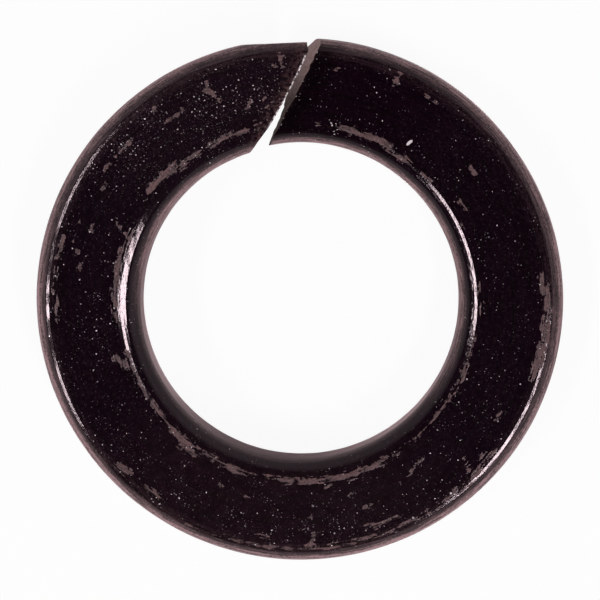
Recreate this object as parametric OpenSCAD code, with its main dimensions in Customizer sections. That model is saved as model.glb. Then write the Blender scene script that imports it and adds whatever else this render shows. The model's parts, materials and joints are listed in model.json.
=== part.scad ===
// Spring lock washer for a 12 mm bolt.
//
// One turn of round-edged steel section, coiled on edge round the bolt hole, cut through on
// a slant and left open. It climbs clockwise seen from above, so the high end stands above
// the low end, and its edge bites when a right-hand thread starts to loosen. The axis of the
// hole is Z, the cut is on the +Y side, and the low end's lowest edge is at Z = 0.

/* [Ring] */
// Diameter of the hole
bore_d = 12.4; // [9:0.1:18]
// Width of the section, from the hole to the outer edge
band_w = 4.05; // [3:0.05:6]
// Thickness of the section
thick = 2.5; // [1.8:0.05:3.5]
// Climb of the coil in a full turn
coil_rise = 2.45; // [1.6:0.05:5]

/* [Edges] */
// Radius of the two edges round the hole
inner_r = 0.82; // [0.2:0.01:0.88]
// Radius of the two outer edges
outer_r = 0.65; // [0.2:0.01:0.85]

/* [Ends] */
// Direction from the axis in which the cut crosses the middle of the band, from +X
cut_az = 93.2; // [80:0.1:100]
// Slant of the high end's face there, from the radial line
cut_skew = 31; // [10:1:38]
// Opening from the low end's upper edge to the high end's face, at the middle of the band
end_gap = 0.28; // [0.15:0.01:1.5]
// How much less the low end's face slants, so that the cut opens towards the hole
gap_flare = 3; // [0:0.5:6]
// Lean of the low end's face, which reaches further at the bottom than at the top
low_lean = 7.5; // [0:0.5:14]
// Lean of the high end's face, which draws back at the bottom
high_lean = 9; // [0:0.5:14]
// Depth of the flat on the outer edge beside the high end
tip_flat = 0.15; // [0.05:0.01:0.35]

/* [Hidden] */

// Angle from one ring of points to the next, and steps round each edge
ring_step = 4;
edge_steps = 5;
// Stock left on the hole side of the coil, which the round hole takes off
stock = 0.06;
// How far each cutter passes the metal
past = 1;
// Direction that the tip's flat faces, ahead of +Y
flat_turn = 2.5;

bore_r = bore_d / 2;
coil_r = bore_r - stock;
outside_r = bore_r + band_w;
mid_r = bore_r + band_w / 2;
cut_x = mid_r * cos(cut_az);
cut_y = mid_r * sin(cut_az);

// Azimuth at which a circle of radius r meets the line that crosses the middle of the band
// with a slant from the radial line, moved clockwise by shift
function line_az(r, slant, shift) =
    let (turn = slant + 90 - cut_az, across = cut_x * cos(turn) - cut_y * sin(turn) + shift)
    acos(across / r) - turn;

// Azimuth of a point [radius, height] of the section on each end's face
function low_az(p) = line_az(p[0], cut_skew - gap_flare, end_gap - (thick - p[1]) * tan(low_lean));
function high_az(p) = line_az(p[0], cut_skew, (p[1] - thick) * tan(high_lean)) - 360;

// Height that the coil has gained at an azimuth
function climb(az) = coil_rise * (cut_az - az) / 360;

// Points round one rounded edge of the section, a quarter turn from the angle start
function edge(r, z, radius, start) =
    [for (i = [0:edge_steps]) let (a = start + 90 * i / edge_steps)
        [r + radius * cos(a), z + radius * sin(a)]];

// Outline of the section as [radius, height], from its lower outer edge and anticlockwise
section = concat(
    edge(outside_r - outer_r, outer_r, outer_r, -90),
    edge(outside_r - outer_r, thick - outer_r, outer_r, 0),
    edge(coil_r + inner_r, thick - inner_r, inner_r, 90),
    edge(coil_r + inner_r, inner_r, inner_r, 180));

sides = len(section);
rings = round(360 / ring_step);
lowest = min([for (p = section) p[1] + climb(low_az(p))]);

// A point of the section carried along the coil, from the low end at t = 0 to the high end at 1
function coil_point(p, t) =
    let (az = low_az(p) + (high_az(p) - low_az(p)) * t)
    [p[0] * cos(az), p[0] * sin(az), p[1] + climb(az) - lowest];

// The section swept along the coil, with both ends on the slant of the cut. Each end is a fan
// of triangles round a point at its middle.
module coil() {
    points = concat(
        [for (k = [0:rings], p = section) coil_point(p, k / rings)],
        [for (t = [0, 1]) coil_point([mid_r, thick / 2], t)]);
    low_hub = (rings + 1) * sides;
    high_hub = low_hub + 1;
    skin = [for (k = [0:rings - 1], j = [0:sides - 1])
        let (a = k * sides + j, b = k * sides + (j + 1) % sides)
        each [[a, b, b + sides], [a, b + sides, a + sides]]];
    low_face = [for (j = [0:sides - 1]) [low_hub, (j + 1) % sides, j]];
    high_face = [for (j = [0:sides - 1])
        [high_hub, rings * sides + j, rings * sides + (j + 1) % sides]];
    polyhedron(points, concat(skin, low_face, high_face), convexity = 6);
}

// The round hole, true to size through the whole coil
module hole() {
    translate([0, 0, -past])
        cylinder(h = thick + coil_rise + 2 * past, r = bore_r, $fn = 180);
}

// Block that takes the flat off the outer edge at the high end, clear of the low end
module flat_cutter() {
    tip_x = outside_r * cos(line_az(outside_r, cut_skew, end_gap / 3) - flat_turn);
    rotate([0, 0, flat_turn])
        translate([tip_x - band_w, outside_r - tip_flat, coil_rise])
            cube([band_w, past, thick + past]);
}

module washer() {
    color("#1b1418")
        difference() {
            coil();
            hole();
            flat_cutter();
        }
}

washer();
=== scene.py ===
"""A spring lock washer for a 12 mm bolt: one open turn of black steel, rubbed brown along its edges.

The coil is made by a Geometry Nodes tree from its real sizes, in metres, with the hole's axis on Z and
the cut on the +Y side. Worn places are strokes along the bar, given by direction and radius.
"""

import json
import math
from types import SimpleNamespace

import bpy
import numpy as np
from bpy.props import FloatProperty, FloatVectorProperty, IntProperty, PointerProperty
from mathutils import Matrix, Vector


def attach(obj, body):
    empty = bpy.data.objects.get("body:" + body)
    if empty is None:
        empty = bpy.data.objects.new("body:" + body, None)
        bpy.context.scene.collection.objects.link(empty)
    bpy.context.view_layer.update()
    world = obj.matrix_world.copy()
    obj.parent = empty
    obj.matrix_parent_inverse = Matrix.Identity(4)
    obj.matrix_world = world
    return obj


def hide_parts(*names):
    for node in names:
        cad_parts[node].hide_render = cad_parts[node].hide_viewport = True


bl_info = {
    "name": "Spring Lock Washer",
    "version": (1, 0, 0),
    "blender": (4, 5, 0),
    "location": "View3D > Sidebar > Washer",
    "description": "Makes a worn black spring lock washer and a plain stage round it",
    "category": "Add Mesh",
}

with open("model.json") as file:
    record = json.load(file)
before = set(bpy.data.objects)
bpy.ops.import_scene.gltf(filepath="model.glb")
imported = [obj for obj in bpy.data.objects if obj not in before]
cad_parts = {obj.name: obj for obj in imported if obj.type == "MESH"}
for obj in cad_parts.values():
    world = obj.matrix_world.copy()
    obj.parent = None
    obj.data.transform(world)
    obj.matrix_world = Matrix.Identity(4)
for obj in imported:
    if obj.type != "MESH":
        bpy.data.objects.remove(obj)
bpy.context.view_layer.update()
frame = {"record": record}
# Millimetres in a metre
MM = 1000
HOLE = frame["record"]["mounts"][0]["dims"]["r_mm"] / MM
OUTSIDE = 0.01025


# ---- Sizes and colours -----------------------------------------------------------------------


class WasherSizes(bpy.types.PropertyGroup):
    """Sizes of the coil"""

    hole_radius: FloatProperty(
        name="Hole radius", description="From the axis to the hole's wall",
        default=HOLE, precision=5, subtype="DISTANCE", unit="LENGTH")
    band_width: FloatProperty(
        name="Band width", description="From the hole's wall to the outer edge",
        default=OUTSIDE - HOLE, precision=5, subtype="DISTANCE", unit="LENGTH")
    thickness: FloatProperty(
        name="Thickness", description="Thickness of the bar",
        default=0.0025, precision=5, subtype="DISTANCE", unit="LENGTH")
    rise: FloatProperty(
        name="Rise", description="How far the coil climbs in a full turn",
        default=0.00245, precision=5, subtype="DISTANCE", unit="LENGTH")
    inner_edge: FloatProperty(
        name="Inner edge radius", description="Rounding of the edges round the hole",
        default=0.00082, precision=5, subtype="DISTANCE", unit="LENGTH")
    outer_edge: FloatProperty(
        name="Outer edge radius", description="Rounding of the outer edges",
        default=0.00065, precision=5, subtype="DISTANCE", unit="LENGTH")
    cut_direction: FloatProperty(
        name="Cut direction", description="Where the cut crosses the middle of the band, from +X",
        default=math.radians(93.2), subtype="ANGLE", unit="ROTATION")
    cut_slant: FloatProperty(
        name="Cut slant", description="Slant of the high end's face from the radial line",
        default=math.radians(31), subtype="ANGLE", unit="ROTATION")
    gap: FloatProperty(
        name="Gap", description="Opening of the cut at the middle of the band",
        default=0.00028, precision=5, subtype="DISTANCE", unit="LENGTH")
    gap_flare: FloatProperty(
        name="Gap flare", description="How much less the low end's face slants, half way down",
        default=math.radians(3), subtype="ANGLE", unit="ROTATION")
    low_lean: FloatProperty(
        name="Low end lean", description="Lean of the low end's face, which reaches furthest at the bottom",
        default=math.radians(7.5), subtype="ANGLE", unit="ROTATION")
    high_lean: FloatProperty(
        name="High end lean", description="Lean of the high end's face, which draws back at the bottom",
        default=math.radians(9), subtype="ANGLE", unit="ROTATION")
    tip_flat: FloatProperty(
        name="Tip flat", description="Depth of the flat on the outer edge beside the high end",
        default=0.00015, precision=5, subtype="DISTANCE", unit="LENGTH")
    flat_direction: FloatProperty(
        name="Flat direction", description="Direction that the tip's flat faces, from +X",
        default=math.radians(92.5), subtype="ANGLE", unit="ROTATION")
    raggedness: FloatProperty(
        name="Raggedness", description="How far the torn low end wanders from a clean cut",
        default=0.00006, precision=6, subtype="DISTANCE", unit="LENGTH")
    corner_loss: FloatProperty(
        name="Corner loss", description="How far the outer corners of both ends are worn back",
        default=0.0002, precision=6, subtype="DISTANCE", unit="LENGTH")
    bulge: FloatProperty(
        name="Bulge", description="How far the middle of the high end's face stands past its ends",
        default=0.00009, precision=6, subtype="DISTANCE", unit="LENGTH")
    foot: FloatProperty(
        name="Foot", description="How much further the low end's outer half reaches at the bottom",
        default=0.00013, precision=6, subtype="DISTANCE", unit="LENGTH")
    burr: FloatProperty(
        name="Burr", description="Height of the burr along the high end's upper edge",
        default=0.00004, precision=6, subtype="DISTANCE", unit="LENGTH")
    waviness: FloatProperty(
        name="Waviness", description="Height of the slow waves left on the skin by coiling",
        default=0.000012, precision=6, subtype="DISTANCE", unit="LENGTH")
    rows: IntProperty(
        name="Rows", description="Rings of points along the bar", default=740, min=60)
    columns: IntProperty(
        name="Columns", description="Points round the bar", default=112, min=16)
    cap_rows: IntProperty(
        name="Cap rows", description="Rings of points on each cut face", default=14, min=2)
    seed: FloatProperty(
        name="Seed", description="Picks another pattern of waves and torn edges", default=7.0)


class WasherLooks(bpy.types.PropertyGroup):
    """Colours of the finish"""

    coat: FloatVectorProperty(
        name="Black coat", description="Colour of the sound black coat",
        default=(0.0036, 0.0001, 0.0026), size=3, min=0, max=1, subtype="COLOR")
    # Besides a thin coat, this colour paints grazing reflection on the rims and bounce light low in the hole
    thin: FloatVectorProperty(
        name="Thin coat", description="Colour of the thin brownish coat on the sides",
        default=(0.145, 0.087, 0.092), size=3, min=0, max=1, subtype="COLOR")
    film: FloatVectorProperty(
        name="Film", description="Colour of the faint film that mottles the black",
        default=(0.085, 0.060, 0.080), size=3, min=0, max=1, subtype="COLOR")
    rubbed: FloatVectorProperty(
        name="Rubbed places", description="Colour where the coat has been rubbed off",
        default=(0.112, 0.058, 0.060), size=3, min=0, max=1, subtype="COLOR")
    sheared: FloatVectorProperty(
        name="Sheared steel", description="Colour of the bare cut faces",
        default=(0.500, 0.340, 0.335), size=3, min=0, max=1, subtype="COLOR")
    # This colour also paints glints: on the bright grains, the burr's beads and the flecks on dents
    specks: FloatVectorProperty(
        name="Bright specks", description="Colour of the grains that show through the coat",
        default=(0.85, 0.74, 0.77), size=3, min=0, max=1, subtype="COLOR")


# ---- Worn places -----------------------------------------------------------------------------

# Each stroke is (direction, radius) at its start and its end, and its half width: degrees from +X,
# falling as the coil climbs, and millimetres. These are on the bar's upper side.
INNER_EDGE_WEAR = (
    (85, 6.95, 82, 6.95, 0.05), (77, 7.0, 60, 7.0, 0.14), (60, 6.9, 56, 6.87, 0.12),
    (56, 6.95, 51, 6.95, 0.07), (47, 6.93, 41, 6.93, 0.05), (33, 7.35, 30, 7.4, 0.06),
    (27, 7.02, 25, 7.02, 0.035), (7, 7.0, 4, 7.0, 0.05), (2, 7.05, -2, 7.05, 0.06),
    (-10, 6.88, -60, 6.88, 0.04), (-20, 6.97, -24, 6.97, 0.07), (-55, 6.92, -64, 6.92, 0.07),
    (-63, 6.97, -86, 6.97, 0.12), (-71, 7.1, -74, 7.2, 0.07), (-80, 7.1, -82, 7.35, 0.06),
    (-86, 7.0, -90, 7.0, 0.14), (-92.5, 6.95, -96, 6.95, 0.1), (-97, 6.93, -99, 6.93, 0.04),
    (-100, 6.93, -109, 6.93, 0.08), (-109, 6.97, -115, 6.97, 0.12), (-115, 6.9, -119, 6.9, 0.04),
    (-119, 6.93, -130, 6.93, 0.08), (-125, 7.17, -130.5, 7.17, 0.08), (-130, 6.95, -136, 6.95, 0.14),
    (-136, 6.9, -165, 6.9, 0.09), (-160, 7.15, -164, 7.35, 0.12), (-176, 7.12, -199, 7.12, 0.11),
    (-200, 7.05, -205, 7.05, 0.06), (-203, 7.25, -205, 7.65, 0.06), (-218.5, 7.25, -225, 7.25, 0.14),
    (-226, 7.17, -229.5, 7.17, 0.16), (-230, 7.05, -238, 7.05, 0.1), (-241, 7.05, -245, 7.05, 0.07),
    (-246, 7.1, -254, 7.1, 0.1), (-254, 7.0, -259, 7.0, 0.04),
)
OUTER_EDGE_WEAR = (
    (67, 9.3, 66.5, 9.7, 0.08), (7, 9.4, 3, 9.4, 0.1), (5, 9.68, -15, 9.68, 0.07), (4, 9.6, -1, 9.6, 0.1),
    (-3, 9.55, -8, 9.55, 0.13), (-9, 9.5, -18, 9.47, 0.12), (-38, 9.35, -40, 9.25, 0.05),
    (-41, 9.5, -52, 9.5, 0.03), (-43, 8.85, -44.5, 9.35, 0.06), (-40, 9.45, -50, 9.45, 0.05),
    (-50, 9.58, -60, 9.58, 0.07), (-36, 9.6, -44, 9.6, 0.02), (-42, 9.62, -57, 9.62, 0.05),
    (-57, 9.6, -75, 9.62, 0.07), (-75, 9.62, -90, 9.66, 0.07), (-90, 9.66, -112, 9.68, 0.06),
    (-64.5, 9.2, -72, 9.2, 0.09), (-72, 9.1, -74.5, 9.1, 0.05), (-86.5, 9.15, -87.5, 9.55, 0.12),
    (-98, 9.27, -100, 9.27, 0.06), (-110, 9.7, -117, 9.7, 0.05), (-126, 9.33, -130, 9.33, 0.08),
    (-135.5, 9.65, -139, 9.65, 0.06), (-176, 9.4, -180, 9.4, 0.05), (-179.5, 9.27, -182, 9.27, 0.08),
    (-183, 9.5, -185, 9.5, 0.06), (-186, 9.4, -190, 9.4, 0.06),
)
FACE_WEAR = (
    (39.5, 8.45, 36.8, 8.42, 0.1), (-27, 8.92, -31, 8.92, 0.014), (-29, 8.82, -33, 8.84, 0.012),
    (-50.5, 7.72, -54, 7.72, 0.045), (-55, 7.85, -61, 8.05, 0.04), (-70, 8.37, -72.5, 8.37, 0.07),
    (-75, 7.75, -75.5, 7.75, 0.06), (-86.5, 8.4, -87, 8.4, 0.07), (-91, 8.4, -91.5, 8.4, 0.07),
    (-104, 7.85, -106, 7.85, 0.05), (-112, 7.7, -114, 7.7, 0.05), (-193, 8.75, -194.5, 8.75, 0.07),
    (-190, 8.55, -191.5, 8.55, 0.045), (-196, 9.0, -198, 9.0, 0.04), (-201, 9.0, -201.5, 9.0, 0.05),
    (-200, 8.47, -201.5, 8.47, 0.07), (-211, 8.75, -213, 8.75, 0.06), (-211, 8.45, -213, 8.45, 0.06),
    (-220, 9.06, -225, 9.04, 0.095), (-215.5, 9.08, -217.5, 9.05, 0.08), (-235, 8.7, -238, 8.7, 0.07),
    (-239, 8.75, -241, 8.75, 0.085), (-247.5, 9.0, -250, 8.4, 0.1), (-248, 9.3, -248.5, 9.3, 0.07),
    (-234, 9.33, -235, 9.33, 0.08), (-255.9, 7.8, -257.2, 8.15, 0.04), (-260, 8.0, -261.5, 8.15, 0.03),
    (-254.4, 7.22, -263.8, 7.99, 0.02), (-257, 7.2, -261, 7.3, 0.05), (83.8, 9.08, 82, 9.07, 0.012),
    (82, 9.07, 80.7, 9.24, 0.012), (-265.4, 9.7, -267.6, 9.68, 0.05), (-265.9, 9.6, -266.2, 9.4, 0.07),
    (-264.4, 9.28, -266.8, 9.27, 0.05), (59.5, 9.42, 56, 9.36, 0.08), (-134.8, 9.33, -138.4, 9.44, 0.125),
    (-191.5, 9.47, -193.5, 9.42, 0.1), (-194, 9.44, -197, 9.43, 0.08),
)

# Strokes of the same kind for bright flecks where the metal is dented, painted glints on the dents.
FLECKS = (
    (56.25, 7.45, 55.8, 7.65, 0.055), (81.1, 7.2, 80.4, 7.09, 0.03), (80.2, 7.03, 79.8, 6.94, 0.034),
    (79.6, 6.86, 79.2, 6.78, 0.03), (79.3, 7.15, 78.5, 7.03, 0.03), (78.3, 6.98, 78.2, 6.88, 0.026),
    (78.9, 6.72, 78.7, 6.66, 0.034), (-256.1, 8.2, -255.5, 8.0, 0.014),
    (-255.4, 7.9, -255.4, 7.66, 0.015), (-257.9, 8.22, -257.6, 8.0, 0.015),
    (-257.2, 7.9, -256.8, 7.78, 0.018), (-261.0, 8.25, -261.6, 8.2, 0.014),
    (-262.3, 8.12, -262.7, 8.05, 0.013), (-258.0, 7.5, -258.2, 7.45, 0.015),
    (-145, 9.62, -147, 9.6, 0.02), (-144, 9.5, -144.4, 9.45, 0.03), (-118, 8.35, -118.4, 8.3, 0.035),
    (-117.4, 8.25, -117.8, 8.3, 0.02), (-124, 8.75, -124.6, 8.72, 0.014), (-109, 8.1, -111, 8.2, 0.013),
)

# Flats rubbed on the upper edge of the hole: directions of start and end, radius at which the flat
# begins, and its slope in degrees.
EDGE_FLATS = ((-164, -226, 6.98, 14.8), (58, -24, 6.932, 14.5))
# Degrees over which a flat fades at its ends, and the most it takes off, in millimetres
FLAT_FADE = 14
FLAT_DEPTH = 0.06

# Where bright specks crowd together: direction, radius, reach in millimetres, how thick they lie.
SPECK_CLUSTERS = (
    (-70, 9.5, 0.7, 0.5), (-82, 9.3, 0.6, 0.6), (-88, 8.8, 0.35, 0.8), (-93, 9.4, 0.3, 0.7),
    (-108, 9.3, 0.4, 0.5), (-126, 7.8, 0.3, 0.7), (-142, 9.6, 0.4, 0.8), (-150, 9.1, 0.2, 0.7),
    (-168, 7.8, 0.4, 0.6), (-183, 7.65, 0.4, 0.5), (-164, 7.45, 0.2, 0.9), (80, 6.95, 0.3, 0.7),
    (-225, 8.5, 1.6, 0.5), (-245, 8.4, 1.8, 0.55), (-260, 8.3, 1.4, 0.5), (-217, 8.4, 1.0, 0.36),
    (-232, 9.2, 0.8, 0.9), (-222, 9.3, 0.6, 0.9), (-214, 9.3, 0.5, 0.8), (-172, 8.0, 1.0, 0.35),
    (-165, 9.0, 0.8, 0.35), (-75, 8.8, 1.6, 0.3), (-100, 8.7, 1.7, 0.3), (-122, 8.6, 1.6, 0.28),
    (-140, 8.9, 1.4, 0.3),
)
# How thick they lie elsewhere
SPARSE = 0.1

# The underside's scattered wear: its seed, the directions of the first and the last stroke along its
# edges with the step between them, and the number of blots on its face.
UNDERSIDE_SEED = 12
UNDERSIDE_STROKES = (88.0, -265.0, -7.5)
UNDERSIDE_BLOTS = 34


# ---- Node helpers ----------------------------------------------------------------------------

# Space between nodes in the editor
COLUMN_STEP = 200
ROW_STEP = 180


class Field:
    """A number flowing through a node tree. Arithmetic on it adds the nodes."""

    def __init__(self, socket):
        self.socket = socket
        self.tree = socket.id_data

    def __add__(self, other):
        return calc("ADD", self, other)

    def __sub__(self, other):
        return calc("SUBTRACT", self, other)

    def __mul__(self, other):
        return calc("MULTIPLY", self, other)

    def __truediv__(self, other):
        return calc("DIVIDE", self, other)

    def __radd__(self, other):
        return calc("ADD", other, self)

    def __rsub__(self, other):
        return calc("SUBTRACT", other, self)

    def __rmul__(self, other):
        return calc("MULTIPLY", other, self)

    def __neg__(self):
        return calc("MULTIPLY", self, -1.0)


def add(tree, kind, inputs=None, **settings):
    """Adds a node, sets its settings, and fills or links its inputs."""
    node = tree.nodes.new(kind)
    for name, value in settings.items():
        setattr(node, name, value)
    for name, value in (inputs or {}).items():
        if isinstance(value, Field):
            tree.links.new(value.socket, node.inputs[name])
        else:
            node.inputs[name].default_value = value
    return node


def out(node, name=0):
    """One output of a node, as a Field."""
    return Field(node.outputs[name])


def calc(operation, *values, clamp=False):
    """A Math node."""
    tree = next(v.tree for v in values if isinstance(v, Field))
    return out(add(tree, "ShaderNodeMath", dict(enumerate(values)), operation=operation, use_clamp=clamp))


def join(x, y, z):
    """A vector made of three numbers."""
    tree = next(v.tree for v in (x, y, z) if isinstance(v, Field))
    return out(add(tree, "ShaderNodeCombineXYZ", {0: x, 1: y, 2: z}))


def split(vector):
    """The three numbers of a vector."""
    node = add(vector.tree, "ShaderNodeSeparateXYZ", {0: vector})
    return [out(node, axis) for axis in range(3)]


def stretch(vector, x, y, z):
    """A vector with each axis scaled, which draws a pattern out along the axis scaled least."""
    return out(add(vector.tree, "ShaderNodeVectorMath", {0: vector, 1: (x, y, z)}, operation="MULTIPLY"))


def shift(vector, x, y, z):
    """A vector moved by three numbers."""
    return out(add(vector.tree, "ShaderNodeVectorMath", {0: vector, 1: (x, y, z)}))


def noise(vector, scale, detail=2.0, roughness=0.5):
    """Smooth noise between 0 and 1."""
    inputs = {"Vector": vector, "Scale": scale, "Detail": detail, "Roughness": roughness}
    return out(add(vector.tree, "ShaderNodeTexNoise", inputs))


def ramp(value, low, high, start=0.0, end=1.0):
    """Goes smoothly from start to end as a value goes from low to high, and stays level outside."""
    inputs = {0: value, 1: low, 2: high, 3: start, 4: end}
    return out(add(value.tree, "ShaderNodeMapRange", inputs, interpolation_type="SMOOTHSTEP"))


def band(value, start, full, fading, end):
    """1 while a value is from full to fading, and 0 up to start and past end."""
    return ramp(value, start, full) * ramp(value, end, fading)


def most(first, *others):
    """The largest of several numbers."""
    for other in others:
        first = calc("MAXIMUM", first, other)
    return first


def mix(factor, low, high):
    """A number between two others."""
    return out(add(factor.tree, "ShaderNodeMix", {0: factor, 2: low, 3: high}))


def mix_colour(factor, low, high):
    """A colour between two others."""
    low, high = [c if isinstance(c, Field) else (*c, 1.0) for c in (low, high)]
    return out(add(factor.tree, "ShaderNodeMix", {0: factor, 6: low, 7: high}, data_type="RGBA"), 2)


def arrange(tree):
    """Lays the nodes out in columns, each to the right of what feeds it."""
    depth = {}

    def depth_of(node):
        if node not in depth:
            depth[node] = 0
            feeds = [link.from_node for socket in node.inputs for link in socket.links]
            depth[node] = 1 + max(map(depth_of, feeds), default=-1)
        return depth[node]

    filled = {}
    for node in tree.nodes:
        column = depth_of(node)
        node.location = (COLUMN_STEP * column, -ROW_STEP * filled.get(column, 0))
        filled[column] = filled.get(column, 0) + 1


def end_with(tree, node, kind):
    """Links a node to the tree's output, and lays the tree out."""
    tree.links.new(node.outputs[0], tree.nodes.new(kind).inputs[0])
    arrange(tree)


def new_object(name, data):
    """An object in the scene that holds the data."""
    thing = bpy.data.objects.new(name, data)
    bpy.context.scene.collection.objects.link(thing)
    return thing


# ---- The coil --------------------------------------------------------------------------------

# Points that round each edge of the bar, points nearer than this that are merged, in metres, and the
# bend past which an edge stays sharp
ROUNDING_STEPS = 24
MERGE_DISTANCE = 3e-7
CREASE_ANGLE = math.radians(50)

# How much further the torn low end wanders than the high end
LOW_TEAR = 4
# Where the ends' corners are worn back, in metres in from the outer edge or from the hole's wall, each
# from where the wear starts to where it is full
LOW_CHIP = (0.00034, 0.00024)
LOW_TIP = (0.00008, 0.0)
LOW_RIM = (0.0003, 0.0)
HIGH_CORNER = (0.00042, 0.00018)
HOLE_CORNER = (0.0012, 0.0002)
# How far the burr reaches down from the upper face, in metres, and how fast it fades away from the
# end, in millimetres for each halving
BURR_DROP = 0.0001
BURR_FADE = 0.03


def tree_inputs(tree, group):
    """Gives the tree an input for each size, and returns its fields and the inputs' identifiers."""
    kinds = {"INT": "NodeSocketInt", "FLOAT": "NodeSocketFloat"}
    names = {}
    for key in group.__annotations__:
        prop = group.bl_rna.properties[key]
        names[key] = tree.interface.new_socket(
            name=prop.name, description=prop.description, in_out="INPUT", socket_type=kinds[prop.type])
    start = tree.nodes.new("NodeGroupInput")
    fields = {key: out(start, socket.name) for key, socket in names.items()}
    return fields, {key: socket.identifier for key, socket in names.items()}


def middle_of(size):
    """Radius of the middle of the band."""
    return size["hole_radius"] + size["band_width"] * 0.5


def outside_of(size):
    """Radius of the outer edge."""
    return size["hole_radius"] + size["band_width"]


def place_along(size, across):
    """How full the outline is at a row of the grid, and the row's share of the way along the bar, as
    counted and as placed, which is closer together near both ends."""
    last = size["rows"] - 1
    row = (across + 0.5) * last
    fullness = calc("DIVIDE", calc("MINIMUM", row, last - row), size["cap_rows"], clamp=True)
    even = calc("DIVIDE", row - size["cap_rows"], last - 2 * size["cap_rows"], clamp=True)
    travel = even - calc("SINE", even * math.tau) * (0.5 / math.tau)
    return fullness, even, travel


def bar_outline(tree, size, around):
    """Point of the bar's rounded outline at a share of the way round it."""
    outline = add(tree, "GeometryNodeCurvePrimitiveQuadrilateral",
                  {"Width": size["band_width"], "Height": size["thickness"]}, mode="RECTANGLE")
    corner = split(out(tree.nodes.new("GeometryNodeInputPosition")))
    outer = calc("GREATER_THAN", corner[0], 0.0)
    rounding = mix(outer, size["inner_edge"], size["outer_edge"])
    rounded = add(tree, "GeometryNodeFilletCurve",
                  {"Curve": out(outline), "Count": ROUNDING_STEPS, "Radius": rounding}, mode="POLY")
    sample = add(tree, "GeometryNodeSampleCurve", {"Curves": out(rounded), "Factor": around}, mode="FACTOR")
    return split(out(sample, "Position"))


def cut_angle(size, radius, slant, move):
    """Direction in which a circle meets the slanted cut, moved clockwise."""
    across = (move - middle_of(size) * calc("SINE", slant)) / radius
    return calc("ARCCOSINE", across) - slant - math.pi / 2 + size["cut_direction"]


def cut_faces(size, radius, height):
    """Directions of the low end's face and the high end's, for a point of the outline."""
    torn = noise(join(radius * (2.2 * MM), height * (0.35 * MM), size["seed"]), 1.0, 3.0, 0.6)
    wander = (torn - 0.5) * size["raggedness"]
    off_middle = radius - middle_of(size)
    inward = outside_of(size) - radius
    drop = size["thickness"] - height
    depth = drop / size["thickness"]

    # The low end reaches further at the foot of its outer half, and its outer corner is chipped
    chipped = ramp(inward, *LOW_CHIP) * 0.6 + ramp(inward, *LOW_TIP) * 0.3
    worn = chipped * ramp(depth, 0.35, 0.75) + ramp(inward, *LOW_RIM) * 0.2
    reach = ramp(off_middle, -0.0012, 0.0002) * depth * size["foot"]
    low_move = size["gap"] - drop * calc("TANGENT", size["low_lean"]) + wander * LOW_TEAR
    low_slant = size["cut_slant"] - size["gap_flare"] * (depth * 1.35 + 0.3)
    low = cut_angle(size, radius, low_slant, low_move + worn * size["corner_loss"] - reach)

    # The high end bulges in its middle, and both its corners are worn back
    share = off_middle / (size["band_width"] * 0.47)
    bulge = (1.0 - share * share) * size["bulge"]
    into_hole = ramp(radius - size["hole_radius"], *HOLE_CORNER)
    lost = (ramp(inward, *HIGH_CORNER) * 0.65 + into_hole * 0.35) * size["corner_loss"]
    high_move = bulge - lost - drop * calc("TANGENT", size["high_lean"]) + wander
    return low, cut_angle(size, radius, size["cut_slant"], high_move) - math.tau


def burr_height(size, radius, height, to_high):
    """Height of the burr that stands up along the high end's upper edge."""
    beads = noise(join(radius * (7 * MM), size["seed"], 0.0), 1.0, 2.0)
    near_end = calc("POWER", 0.5, to_high * (MM / BURR_FADE))
    crest = near_end * ramp(height, size["thickness"] - BURR_DROP, size["thickness"])
    return crest * size["burr"] * ramp(beads, 0.35, 0.7)


def trimmed(size, radius, angle, travel):
    """Place of a point seen from above, with a flat square to one direction beside the tip."""
    x, y = radius * calc("COSINE", angle), radius * calc("SINE", angle)
    facing = calc("COSINE", size["flat_direction"]), calc("SINE", size["flat_direction"])
    proud = x * facing[0] + y * facing[1] - (outside_of(size) - size["tip_flat"])
    trim = calc("MAXIMUM", proud, 0.0) * calc("GREATER_THAN", travel, 0.5)
    return x - facing[0] * trim, y - facing[1] * trim


def store(mesh, name, kind, domain, value):
    """Keeps a value on the mesh under a name."""
    node = add(mesh.tree, "GeometryNodeStoreNamedAttribute", {"Geometry": mesh, "Name": name},
               data_type=kind, domain=domain)
    mesh.tree.links.new(value.socket, node.inputs["Value"])
    return out(node)


def stored(tree, name, kind):
    """A value kept on the mesh under a name."""
    return out(add(tree, "GeometryNodeInputNamedAttribute", {"Name": name}, data_type=kind))


def wave_skin(tree, mesh, size):
    """Raises slow waves over the skin, then stands the coil on the floor."""
    bar = stored(tree, "bar", "FLOAT_VECTOR")
    waves = noise(stretch(bar, 0.5, 0.9, 0.9), 1.0, 2.0) - 0.5
    ripples = noise(stretch(bar, 1.2, 2.6, 2.6), 1.0, 1.0) - 0.5
    swell = (waves * 2 + ripples * 0.7) * size["waviness"]
    normal = out(tree.nodes.new("GeometryNodeInputNormal"))
    lift = out(add(tree, "ShaderNodeVectorMath", {0: normal, "Scale": swell}, operation="SCALE"))
    mesh = out(add(tree, "GeometryNodeSetPosition", {"Geometry": mesh, "Offset": lift}))
    up = split(out(tree.nodes.new("GeometryNodeInputPosition")))[2]
    lowest = out(add(tree, "GeometryNodeAttributeStatistic", {"Geometry": mesh, "Attribute": up}), "Min")
    return out(add(tree, "GeometryNodeSetPosition", {"Geometry": mesh, "Offset": join(0.0, 0.0, -lowest)}))


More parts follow.
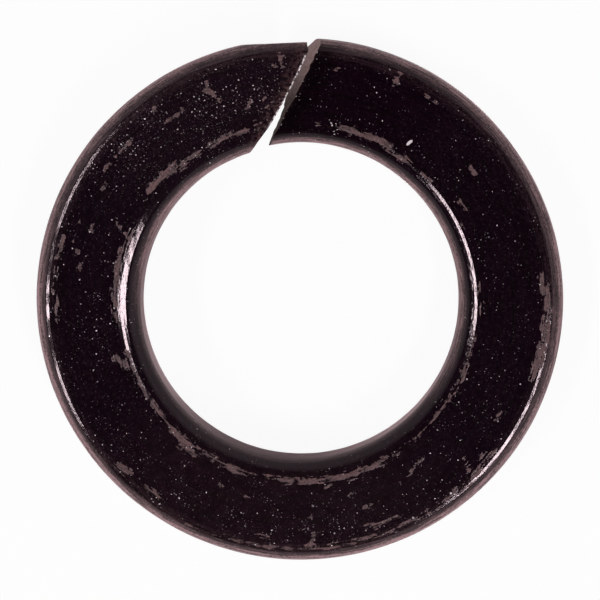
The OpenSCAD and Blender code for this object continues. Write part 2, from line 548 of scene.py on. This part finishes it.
def dress(tree, mesh, coat, cut):
    """Smooths all but the cut's edges, and gives the skin and the cut faces their materials."""
    crease = calc("GREATER_THAN", out(tree.nodes.new("GeometryNodeInputMeshEdgeAngle")), CREASE_ANGLE)
    sharp = {"Geometry": mesh, "Selection": crease, "Shade Smooth": False}
    mesh = out(add(tree, "GeometryNodeSetShadeSmooth", sharp, domain="EDGE"))
    mesh = out(add(tree, "GeometryNodeRealizeInstances", {"Geometry": mesh}))
    mesh = out(add(tree, "GeometryNodeSetMaterial", {"Geometry": mesh, "Material": coat}))
    on_cut = stored(tree, "sheared", "BOOLEAN")
    return add(tree, "GeometryNodeSetMaterial", {"Geometry": mesh, "Selection": on_cut, "Material": cut})


def coil_tree(coat, cut):
    """The node tree that makes the whole coil from its sizes."""
    tree = bpy.data.node_groups.new("Washer coil", "GeometryNodeTree")
    tree.is_modifier = True
    size, inputs = tree_inputs(tree, WasherSizes)

    # A flat grid, whose one side runs along the bar and its ends' faces, and the other round it
    grid = add(tree, "GeometryNodeMeshGrid", {
        "Size X": 1.0, "Size Y": 1.0, "Vertices X": size["rows"], "Vertices Y": size["columns"]})
    on_grid = split(out(tree.nodes.new("GeometryNodeInputPosition")))
    fullness, even, travel = place_along(size, on_grid[0])
    around = on_grid[1] + 0.5

    # The outline at this row, drawn in to a point on the ends' faces
    outline = bar_outline(tree, size, around)
    radius = outline[0] * fullness + middle_of(size)
    height = outline[1] * fullness + size["thickness"] * 0.5

    # Where this point lies between the two cut faces
    low, high = cut_faces(size, radius, height)
    angle = mix(travel, low, high)
    sweep = size["cut_direction"] - angle
    climb = sweep * size["rise"] / math.tau
    to_low, to_high = (low - angle) * radius, (angle - high) * radius
    x, y = trimmed(size, radius, angle, travel)
    place = join(x, y, height + climb + burr_height(size, radius, height, to_high))

    # What the finish follows: millimetres along, across and up the bar, and from each end
    bar = join(sweep * middle_of(size) * MM, radius * MM, height * MM)
    mesh = store(out(grid), "bar", "FLOAT_VECTOR", "POINT", bar)
    mesh = store(mesh, "ends", "FLOAT_VECTOR", "POINT", join(to_low * MM, to_high * MM, 0.0))
    mesh = store(mesh, "sheared", "BOOLEAN", "FACE", calc("LESS_THAN", fullness, 0.999))
    mesh = store(mesh, "UVMap", "FLOAT2", "CORNER", join(even, around, 0.0))
    mesh = out(add(tree, "GeometryNodeSetPosition", {"Geometry": mesh, "Position": place}))
    merge = {"Geometry": mesh, "Distance": MERGE_DISTANCE}
    mesh = wave_skin(tree, out(add(tree, "GeometryNodeMergeByDistance", merge)), size)
    tree.interface.new_socket(name="Geometry", in_out="OUTPUT", socket_type="NodeSocketGeometry")
    end_with(tree, dress(tree, mesh, coat, cut), "NodeGroupOutput")
    return tree, inputs


def coil_object(tree, inputs, sizes):
    """The coil as an object with a plain mesh, at the origin."""
    holder = new_object("spring_washer", bpy.data.meshes.new("spring_washer"))
    modifier = holder.modifiers.new("Washer coil", "NODES")
    modifier.node_group = tree
    for key, identifier in inputs.items():
        modifier[identifier] = getattr(sizes, key)
    depsgraph = bpy.context.evaluated_depsgraph_get()
    mesh = bpy.data.meshes.new_from_object(
        holder.evaluated_get(depsgraph), preserve_all_data_layers=True, depsgraph=depsgraph)
    holder.modifiers.clear()
    holder.data = mesh
    mesh.name = "spring_washer"
    return holder


# ---- Wear on the coil ------------------------------------------------------------------------


def read_vectors(mesh, name):
    """A vector attribute as an array with one row for each point."""
    values = np.empty(len(mesh.vertices) * 3, np.float32)
    mesh.attributes[name].data.foreach_get("vector", values)
    return values.reshape(-1, 3).astype(float)


def write_numbers(mesh, name, values):
    """Keeps one number for each point."""
    layer = mesh.attributes.new(name, "FLOAT", "POINT")
    layer.data.foreach_set("value", values.astype(np.float32))


def ring_radii(sizes):
    """Radii of the hole, the middle of the band and the outer edge, in millimetres."""
    hole, width = sizes.hole_radius, sizes.band_width
    return hole * MM, (hole + width / 2) * MM, (hole + width) * MM


def directions(bar, sizes):
    """Direction of each point of the bar from +X, in radians."""
    return sizes.cut_direction - bar[:, 0] / ring_radii(sizes)[1]


def edge_drop(sizes, radius):
    """How far the rounded edges fall below the flat of the bar at a radius, in millimetres."""
    inner, outer = sizes.inner_edge * MM, sizes.outer_edge * MM
    hole, _, outside = ring_radii(sizes)
    into_inner = np.clip(hole + inner - radius, 0, inner)
    into_outer = np.clip(radius - outside + outer, 0, outer)
    return inner - np.sqrt(inner**2 - into_inner**2) + outer - np.sqrt(outer**2 - into_outer**2)


def inside_strokes(bar, sizes, strokes, under=False):
    """How far inside the nearest stroke each point lies, in millimetres, and below 0 outside."""
    angle = directions(bar, sizes)
    even = np.ones(len(bar))
    best = -even
    for start_angle, start_radius, end_angle, end_radius, half_width in strokes:
        drops = [edge_drop(sizes, r) for r in (start_radius, end_radius)]
        heights = drops if under else [sizes.thickness * MM - d for d in drops]
        stroke = np.stack([np.radians(end_angle - start_angle) * bar[:, 1],
                           even * (end_radius - start_radius), even * (heights[1] - heights[0])], 1)
        point = np.stack([(angle - np.radians(start_angle)) * bar[:, 1],
                          bar[:, 1] - start_radius, bar[:, 2] - heights[0]], 1)
        share = np.clip((point * stroke).sum(1) / np.maximum((stroke**2).sum(1), 1e-9), 0, 1)
        apart = np.linalg.norm(point - stroke * share[:, None], axis=1)
        best = np.maximum(best, half_width - apart)
    return best


def flatten_edges(mesh, sizes):
    """Rubs flats on the rounded upper edge of the hole."""
    bar = read_vectors(mesh, "bar")
    angle = np.degrees(directions(bar, sizes))
    now = edge_drop(sizes, bar[:, 1])
    thickness = sizes.thickness * MM
    upper = bar[:, 2] > thickness / 2
    skin = upper & (np.abs(thickness - bar[:, 2] - now) < 1e-3)
    places = np.empty(len(mesh.vertices) * 3, np.float32)
    mesh.vertices.foreach_get("co", places)
    places = places.reshape(-1, 3)
    for start, end, radius, slope in EDGE_FLATS:
        fade = np.clip(np.minimum(start - angle, angle - end) / FLAT_FADE, 0, 1)
        flat = (radius - bar[:, 1]) * math.tan(math.radians(slope))
        taken = np.clip(flat - now, 0, FLAT_DEPTH) * fade * skin * (bar[:, 1] < radius)
        places[:, 2] -= taken / MM
    mesh.vertices.foreach_set("co", places.ravel())


def hidden_strokes(sizes, chance):
    """Strokes of like kind for the underside, scattered along both of its edges and its face."""
    hole, _, outside = ring_radii(sizes)
    strokes = []
    for start in np.arange(*UNDERSIDE_STROKES):
        for radius, reach in ((hole + 0.75, 4.5), (outside - 0.6, 3.5)):
            length = reach * chance.uniform(0.2, 1.6)
            r = radius + chance.normal(0, 0.12)
            a = start + chance.uniform(-3, 3)
            strokes.append((a, r, a - length, r, chance.uniform(0.03, 0.14)))
    for _ in range(UNDERSIDE_BLOTS):
        a, r = chance.uniform(-262, 86), chance.uniform(hole + 1.2, outside - 1.1)
        end = a - chance.uniform(0.5, 3), r + chance.normal(0, 0.1)
        strokes.append((a, r, *end, chance.uniform(0.04, 0.1)))
    return strokes


def wear_down(mesh, sizes):
    """Writes where the coat is rubbed and where specks crowd, for the finish to read."""
    bar = read_vectors(mesh, "bar")
    chance = np.random.default_rng(UNDERSIDE_SEED)
    seen = inside_strokes(bar, sizes, INNER_EDGE_WEAR + OUTER_EDGE_WEAR)
    under = inside_strokes(bar, sizes, hidden_strokes(sizes, chance), under=True)
    write_numbers(mesh, "rubbed", np.clip(np.maximum(seen, under), -0.6, 0.3))
    write_numbers(mesh, "blots", np.clip(inside_strokes(bar, sizes, FACE_WEAR), -0.6, 0.3))
    write_numbers(mesh, "flecks", np.clip(inside_strokes(bar, sizes, FLECKS), -0.3, 0.3))

    angle = directions(bar, sizes)
    crowd = np.full(len(bar), SPARSE)
    for direction, radius, reach, thick in SPECK_CLUSTERS:
        apart = np.hypot((angle - math.radians(direction)) * bar[:, 1], bar[:, 1] - radius)
        crowd = np.maximum(crowd, thick * np.clip(1.3 - apart / reach, 0, 1))
    write_numbers(mesh, "crowd", crowd)


# ---- The finish ------------------------------------------------------------------------------

# In the finish, places on the bar are in millimetres: along it from the low end, out from the hole's
# axis, and up from its lower face.

# Distance round the bar, for the grains laid on its skin
ROUND_BAR = 11.8
# Stretches along the bar, by where each starts, is full, fades and ends: the half towards -X and -Y,
# the side farthest from the cut, and where the outer edge is beaded
NEAR_HALF = (12.0, 20.0, 38.0, 44.0)
FAR_SIDE = (18.0, 24.0, 31.0, 36.0)
BEADED_STRETCH = (16.0, 20.0, 26.0, 30.0)
# Rings that are beaded, by radius: on the outer edge and on the hole's
OUTER_RING = (9.45, 9.6, 9.8, 9.9)
HOLE_RING = (6.6, 6.7, 6.95, 7.1)
# One unit of relief, in metres
RELIEF_UNIT = 1e-6

# Roughness of the sound coat at its glossiest and its dullest, of rubbed and dull places, and of the
# cut faces
COAT_ROUGHNESS = (0.07, 0.11)
DULL_ROUGHNESS = 0.75
CUT_ROUGHNESS = 0.8

# Constants of the two shaders
COAT_SHINE = {
    "Specular Tint": (1.0, 0.8, 0.86, 1.0),
    "Sheen Weight": 1.0, "Sheen Roughness": 0.3, "Sheen Tint": (1.0, 0.72, 0.76, 1.0)}
CUT_SHINE = {"Specular IOR Level": 0.04, "Specular Tint": (1.0, 0.7, 0.72, 1.0)}


def attribute(tree, name, output):
    """A value kept on the mesh."""
    return out(add(tree, "ShaderNodeAttribute", attribute_name=name), output)


def specks(skin, crowd, per_mm, largest):
    """Small grains at random places on the skin, more where they crowd, each of its own brightness."""
    cell = add(skin.tree, "ShaderNodeTexVoronoi", {"Vector": skin, "Scale": per_mm}, voronoi_dimensions="2D")
    luck = split(out(cell, "Color"))
    present = calc("LESS_THAN", luck[0], crowd)
    radius = (luck[1] * luck[1] * 0.6 + 0.4) * (largest * per_mm)
    inside = ramp(radius - out(cell, "Distance"), 0.0, 0.2 * largest * per_mm)
    return inside * present * (luck[2] * luck[2] * 1.2 + 0.12)


def principled(tree, colour, roughness, relief, constants):
    """The shader, with its relief as bump."""
    bump = add(tree, "ShaderNodeBump", {"Strength": 1.0, "Distance": RELIEF_UNIT, "Height": relief})
    inputs = {"Base Color": colour, "Roughness": roughness, "Normal": out(bump), "IOR": 1.5}
    end_with(tree, add(tree, "ShaderNodeBsdfPrincipled", {**inputs, **constants}), "ShaderNodeOutputMaterial")


def new_material(name):
    """An empty node material."""
    material = bpy.data.materials.new(name)
    material.use_nodes = True
    material.node_tree.nodes.clear()
    return material, material.node_tree


def shade(colour, amount):
    """A colour made darker or lighter."""
    return [channel * amount for channel in colour]


def read_bar(tree):
    """What the black finish follows: places on the bar, marks of wear, and patterns of noise."""
    bar = attribute(tree, "bar", "Vector")
    on = SimpleNamespace(bar=bar)
    on.along, on.radius, on.height = split(bar)
    on.to_low, on.to_high, _ = split(attribute(tree, "ends", "Vector"))
    for name in ("rubbed", "blots", "crowd", "flecks"):
        setattr(on, name, attribute(tree, name, "Fac"))

    # Streaks drawn along the bar, and patchy noise of three sizes
    on.streaks = noise(stretch(bar, 1.9, 9.5, 9.5), 1.0, 3.0, 0.65)
    on.lines = noise(stretch(bar, 0.9, 13.0, 13.0), 1.0, 2.0, 0.6)
    on.flakes = noise(bar, 2.6, 2.0, 0.6)
    on.chips = noise(bar, 7.0, 3.0, 0.65)
    on.dots = noise(bar, 15.0, 3.0, 0.7)

    # Stretches of the bar, all below its upper edges, and its sides, where the coat is dull
    on.near_half = band(on.along, *NEAR_HALF)
    on.far_side = band(on.along, *FAR_SIDE)
    on.wall = ramp(on.height, 2.0, 1.7)
    on.dull = most(ramp(on.radius, 9.75, 9.9), ramp(on.radius, 6.7, 6.35))
    return on


def bare_places(on):
    """Where the coat is rubbed off: streaks along the edges and blots on the face, thin in parts."""
    rough_out = (on.flakes - 0.5) * 0.22 + (on.chips - 0.5) * 0.34
    edge = calc("MINIMUM", on.rubbed, 0.075) + rough_out
    edge = edge + (on.streaks - 0.5) * 0.42 + (on.lines - 0.5) * 0.28
    blot = calc("MINIMUM", on.blots, 0.06) + rough_out * 1.1 + (on.streaks - 0.5) * 0.2
    cover = ramp(noise(on.bar, 1.7, 3.0, 0.6), 0.32, 0.55, 0.5, 1.0)
    cover = cover * ramp(on.lines * 0.6 + on.dots * 0.4, 0.36, 0.54, 0.25, 1.0)
    return most(ramp(edge, 0.0, 0.06) * cover, ramp(blot, 0.0, 0.05) * ramp(cover, 0.2, 0.8, 0.55, 1.0))


def dusty_places(on):
    """Scuffs beside the high end, and dull rubbed dust, thickest where specks crowd."""
    scuff = ramp(on.to_high, 0.75, 0.05) * ramp(noise(on.bar, 6.0, 3.0, 0.65), 0.42, 0.58) * 0.6
    return most(scuff, ramp(on.dots, 0.52, 0.7) * (on.crowd * 0.25 + 0.05))


def thin_coat_and_painted_light(on):
    """Thin brown coat on the sides, partly painted grazing reflection and painted bounce light, and faint on
    parts of the face.
    """
    # The near half is palest along the outer rim, a painted grazing reflection, and low on the hole's wall,
    # painted bounce light from the floor
    ragged = on.radius + (on.streaks - 0.5) * 0.35 + (on.chips - 0.5) * 0.2
    up = on.height + (on.streaks - 0.5) * 0.9 + (on.chips - 0.5) * 0.5
    rim = ramp(on.radius, 10.03, 10.12) * (1.0 - on.near_half) * 0.55
    rim = rim + ramp(on.radius, 9.9, 10.04) * on.near_half * 1.3
    dark_ends = ramp(on.along, 10.0, 3.0) + ramp(on.along, 46.0, 50.0)
    outer_side = ramp(ragged - dark_ends * 0.1, 9.7, 10.2) * (rim + 1.0) * ramp(up, 1.1, 2.0, 0.14, 1.0)
    low_wall = ramp(on.radius, 6.34, 6.21) * ramp(on.height, 1.7, 0.9, 0.4, 1.0)

    # The other half is palest round the hole's edge, a painted grazing reflection
    hole_edge = ramp(on.radius, 6.52, 6.24) * ramp(up, 1.1, 1.8, 0.2, 2.2)
    sides = most(outer_side, mix(on.near_half, hole_edge, low_wall), ramp(on.radius, 9.3, 9.95) * 0.12)

    # Drawn streaks break it up, less so on the walls
    drawn = on.lines * 0.5 + on.dots * 0.5
    broken = mix(on.wall, ramp(drawn, 0.41, 0.59, 0.2, 1.8), ramp(drawn, 0.41, 0.59, 0.6, 1.35))
    on_face = on.far_side * 0.042 + ramp(on.along, 43.0, 47.0) * 0.018
    return sides * broken + on_face * ramp(on.flakes, 0.3, 0.7, 0.6, 1.4)


def filmy_places(on):
    """A faint film that mottles the black, but for the low end and the far side."""
    film = ramp(on.dots * 0.6 + on.chips * 0.4, 0.44, 0.66, 0.35, 3.0) * 0.022
    return film * ramp(on.along, 3.5, 7.0, 0.15, 1.0) * (1.0 - on.far_side * 0.85)


def drawn_relief(on, bare):
    """Drawn streaks and grain, strongest on the rubbed edges, and beads along parts of the edges."""
    outer_relief = ramp(on.rubbed, -0.25, 0.0) * ramp(on.along, 30.0, 25.0) * 2.4 + 0.9
    near_edge = ramp(on.radius, 7.2, 6.95) * 3.2 + ramp(on.radius, 9.5, 9.65) * outer_relief
    grain = noise(on.bar, 10.0, 1.0, 0.5)
    beaded = band(on.along, *BEADED_STRETCH) + ramp(on.along, 40.0, 43.0)
    beaded = beaded * band(on.radius, *OUTER_RING)
    beaded = beaded + band(on.radius, *HOLE_RING) * mix(on.near_half, 0.1, 0.35)
    relief = (on.streaks - 0.5) * (near_edge + 0.25) + (grain - 0.5) * (near_edge * 0.7 + bare * 4.0 + 0.4)
    relief = relief + (on.lines + on.dots - 1.0) * on.dull * mix(on.wall, 10.0, 3.0)
    return relief + ((on.chips - 0.5) * 4.5 + (on.dots - 0.5) * 2.5) * beaded


def grain_places(on, bare):
    """Bright grains, partly bare grains and partly painted glints, and dull ones, scattered over the skin."""
    wobble = noise(on.bar, 16.0, 1.0) * 0.05
    round_bar = split(attribute(on.bar.tree, "UVMap", "Vector"))[1] * ROUND_BAR
    skin = join(on.along + wobble, round_bar + wobble, 0.0)
    clumps = ramp(noise(on.bar, 1.3, 2.0, 0.6), 0.35, 0.65, 0.25, 1.6)
    large = specks(skin, on.crowd * clumps * 0.17, 2.6, 0.045)
    fine = specks(shift(skin, 7.3, 3.1, 0.0), (on.crowd * 0.7 + 0.03) * clumps + bare * 0.2, 6.5, 0.029)
    dull = specks(shift(skin, 2.9, 8.7, 0.0), (on.crowd + 0.1) * clumps, 9.0, 0.026)
    return most(large, fine) * ramp(on.radius, 9.85, 9.65), dull * 0.15


def edge_and_dent_glints(on):
    """Bright beads on the high end's burr, a few on the low end's edge, and flecks on the face: bare metal
    painted bright as glints.
    """
    lip = ramp(on.height, 2.36, 2.46)
    beads = ramp(noise(on.bar, 8.0, 1.0), 0.38, 0.54)
    burr = ramp(on.to_high, 0.08, 0.04) * lip * beads * ramp(on.radius, 7.0, 7.3) * ramp(on.radius, 9.75, 9.5)
    fringe = ramp(on.to_low, 0.06, 0.03) * lip * ramp(noise(on.bar, 7.0, 1.0), 0.6, 0.66)
    return most(burr, fringe, ramp(on.flecks + (on.chips - 0.5) * 0.04, 0.0, 0.012))


def black_steel(looks):
    """Black coat, thin on the sides with painted grazing reflection and bounce light, over brown rubbed
    places and bright specks that are partly painted glints.
    """
    material, tree = new_material("Black steel, rubbed")
    on = read_bar(tree)
    bare = bare_places(on)
    grains, dull_grains = grain_places(on, bare)
    bright = most(grains, edge_and_dent_glints(on))

    coat = mix_colour(ramp(on.lines, 0.3, 0.7), shade(looks.coat, 0.5), shade(looks.coat, 1.7))
    coat = mix_colour(filmy_places(on), coat, looks.film)
    # The thin coat's colour, which on the sides also paints grazing reflection and bounce light
    coat = mix_colour(thin_coat_and_painted_light(on) * 0.4, coat, shade(looks.thin, 2.5))
    mottle = ramp(on.dots * 0.5 + on.streaks * 0.5, 0.38, 0.62)
    brown = mix_colour(mottle, shade(looks.rubbed, 0.4), shade(looks.rubbed, 1.5))
    colour = mix_colour(most(bare, dusty_places(on)), coat, brown)
    # Specks, beads and flecks, partly bare metal and partly painted glints
    colour = mix_colour(most(bright, dull_grains), colour, looks.specks)
    gloss = ramp(on.streaks, 0.2, 0.8, *COAT_ROUGHNESS)
    roughness = mix(most(bare, on.dull), gloss, DULL_ROUGHNESS)
    relief = drawn_relief(on, bare) - bare * 2.5 + bright * 4.0
    principled(tree, colour, roughness, relief, COAT_SHINE)
    return material


def sheared_steel(looks):
    """Bare steel of the cut faces, streaked from top to bottom by the shear."""
    material, tree = new_material("Sheared steel")
    bar = attribute(tree, "bar", "Vector")
    along, radius, height = split(bar)
    streaks = noise(stretch(bar, 6.0, 9.0, 1.0), 1.0, 3.0, 0.6)
    mottle = noise(bar, 5.0, 3.0, 0.6)

    # Palest at the outer end, darkening inward as a painted shade of the narrow gap; paler along the top, and
    # darker on the high end than on the low one
    gap_shade_and_tone = ramp(radius, 7.4, 9.9, 0.17, 1.05) * ramp(height, 1.9, 2.4, 1.0, 1.25)
    gap_shade_and_tone = gap_shade_and_tone * ramp(along, 20.0, 30.0, 1.0, 0.35)
    gap_shade_and_tone = gap_shade_and_tone * ramp(streaks * 0.6 + mottle * 0.4, 0.3, 0.7, 0.7, 1.3)
    colour = mix_colour(gap_shade_and_tone, shade(looks.sheared, 0.05), looks.sheared)
    relief = (streaks - 0.5) * 9.0 + (noise(bar, 16.0, 2.0) - 0.5) * 3.0
    principled(tree, colour, CUT_ROUGHNESS, relief, CUT_SHINE)
    return material


# ---- Stage -----------------------------------------------------------------------------------

# The camera and the lamps look at the target, with their tops towards +Y. The camera looks down on
# the washer, leaning a little towards +X and +Y.
TARGET = Vector((0.0, 0.0, 0.0025))
TOP = Vector((0, 1, 0))
CAMERA_LEAN_X = math.radians(3.16)
CAMERA_LEAN_Y = math.radians(7.65)
CAMERA_DISTANCE = 0.0803
VIEW_WIDTH = 0.0236
SENSOR = 36.0
FRAMING = Vector((-0.000043, 0.000045, 0.0))

LAMP_DISTANCE = 0.45
# Each strip lamp: how far off overhead its middle lies along X and Y, and its width and length,
# all as shares of the distance.
STRIP_LAMPS = (
    ("left strip", -0.52, -0.125, 0.105, 0.39), ("left tail", -0.53, -0.41, 0.03, 0.18),
    ("right strip", 0.38, -0.31, 0.125, 0.38),
)
STRIP_RADIANCE = 32.0

FLOOR_HALF = 2.0
FLOOR_WHITE = (0.95, 0.95, 0.95, 1.0)
# How much of the floor glows plain white to the camera and in reflections; the rest keeps the shadow
FLOOR_GLOW = 0.94


def face(thing, place):
    """Puts a camera or lamp at a place, looking at the target."""
    back = (place - TARGET).normalized()
    right = TOP.cross(back).normalized()
    axes = Matrix((right, back.cross(right), back)).transposed()
    thing.matrix_world = Matrix.Translation(place) @ axes.to_4x4()


def make_camera():
    """The camera that frames the washer from above."""
    data = bpy.data.cameras.new("camera")
    data.sensor_width = SENSOR
    data.lens = SENSOR * CAMERA_DISTANCE / VIEW_WIDTH
    data.clip_start, data.clip_end = 0.005, 5.0
    camera = new_object("camera", data)
    back = Vector((math.sin(CAMERA_LEAN_X) * math.cos(CAMERA_LEAN_Y), math.sin(CAMERA_LEAN_Y),
                   math.cos(CAMERA_LEAN_X) * math.cos(CAMERA_LEAN_Y)))
    face(camera, TARGET + back * CAMERA_DISTANCE)
    camera.matrix_world = camera.matrix_world @ Matrix.Translation(FRAMING)
    bpy.context.scene.camera = camera


def make_lamps():
    """Soft strip lamps overhead, one on each side and a narrow one beyond the left one's end."""
    for name, across, along, width, length in STRIP_LAMPS:
        data = bpy.data.lights.new(name, "AREA")
        data.shape = "RECTANGLE"
        data.size, data.size_y = width * LAMP_DISTANCE, length * LAMP_DISTANCE
        data.energy = STRIP_RADIANCE * math.pi * data.size * data.size_y
        face(new_object(name, data), Vector((across, along, 1.0)) * LAMP_DISTANCE)


def make_room():
    """A dim room, palest along the floor, which the camera sees as plain white."""
    world = bpy.data.worlds.new("room")
    world.use_nodes = True
    bpy.context.scene.world = world
    tree = world.node_tree
    tree.nodes.clear()
    rise = split(out(tree.nodes.new("ShaderNodeTexCoord"), "Generated"))[2]
    level = ramp(rise, 0.04, 0.56, 1.0, 0.02)
    to_camera = out(tree.nodes.new("ShaderNodeLightPath"), "Is Camera Ray")
    light = add(tree, "ShaderNodeBackground", {"Strength": mix(to_camera, level, 1.0)})
    end_with(tree, light, "ShaderNodeOutputWorld")


def make_floor():
    """A plain white floor that keeps a soft shadow."""
    mesh = bpy.data.meshes.new("floor")
    corners = [(x * FLOOR_HALF, y * FLOOR_HALF, 0) for x, y in ((-1, -1), (1, -1), (1, 1), (-1, 1))]
    mesh.from_pydata(corners, [], [(0, 1, 2, 3)])
    material, tree = new_material("White floor")
    path = tree.nodes.new("ShaderNodeLightPath")
    seen = most(out(path, "Is Camera Ray"), out(path, "Is Glossy Ray"))
    paint = add(tree, "ShaderNodeBsdfDiffuse", {"Color": FLOOR_WHITE})
    glow = add(tree, "ShaderNodeEmission", {"Strength": 1.0})
    both = add(tree, "ShaderNodeMixShader", {0: seen * FLOOR_GLOW, 1: out(paint), 2: out(glow)})
    end_with(tree, both, "ShaderNodeOutputMaterial")
    mesh.materials.append(material)
    new_object("floor", mesh)


# ---- Operators, panel and registration -------------------------------------------------------


class WASHER_OT_make_coil(bpy.types.Operator):
    """Make the washer from its sizes and give it its worn black finish"""

    bl_idname = "washer.make_coil"
    bl_label = "Make Washer"

    def execute(self, context):
        sizes = context.scene.washer_sizes
        looks = context.scene.washer_looks
        tree, inputs = coil_tree(black_steel(looks), sheared_steel(looks))
        washer = coil_object(tree, inputs, sizes)
        flatten_edges(washer.data, sizes)
        wear_down(washer.data, sizes)
        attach(washer, "root")
        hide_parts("washer")
        return {"FINISHED"}


class WASHER_OT_make_stage(bpy.types.Operator):
    """Make the floor, the room, the lamps and the camera"""

    bl_idname = "washer.make_stage"
    bl_label = "Make Stage"

    def execute(self, context):
        context.scene.view_settings.view_transform = "Standard"
        make_floor()
        make_room()
        make_lamps()
        make_camera()
        return {"FINISHED"}


class WASHER_PT_panel(bpy.types.Panel):
    """Sizes, colours and what to make"""

    bl_label = "Spring Lock Washer"
    bl_space_type = "VIEW_3D"
    bl_region_type = "UI"
    bl_category = "Washer"

    def draw(self, context):
        for group in (context.scene.washer_sizes, context.scene.washer_looks):
            column = self.layout.column(align=True)
            for key in type(group).__annotations__:
                column.prop(group, key)
        self.layout.operator(WASHER_OT_make_coil.bl_idname)
        self.layout.operator(WASHER_OT_make_stage.bl_idname)


CLASSES = (WasherSizes, WasherLooks, WASHER_OT_make_coil, WASHER_OT_make_stage, WASHER_PT_panel)


def register():
    """Adds the sizes, colours, operators and panel."""
    for cls in CLASSES:
        bpy.utils.register_class(cls)
    bpy.types.Scene.washer_sizes = PointerProperty(type=WasherSizes)
    bpy.types.Scene.washer_looks = PointerProperty(type=WasherLooks)


def unregister():
    """Takes them away again."""
    del bpy.types.Scene.washer_looks
    del bpy.types.Scene.washer_sizes
    for cls in reversed(CLASSES):
        bpy.utils.unregister_class(cls)


def main():
    """Makes the washer and its stage."""
    register()
    bpy.ops.washer.make_coil()
    bpy.ops.washer.make_stage()


if __name__ == "__main__":
    main()
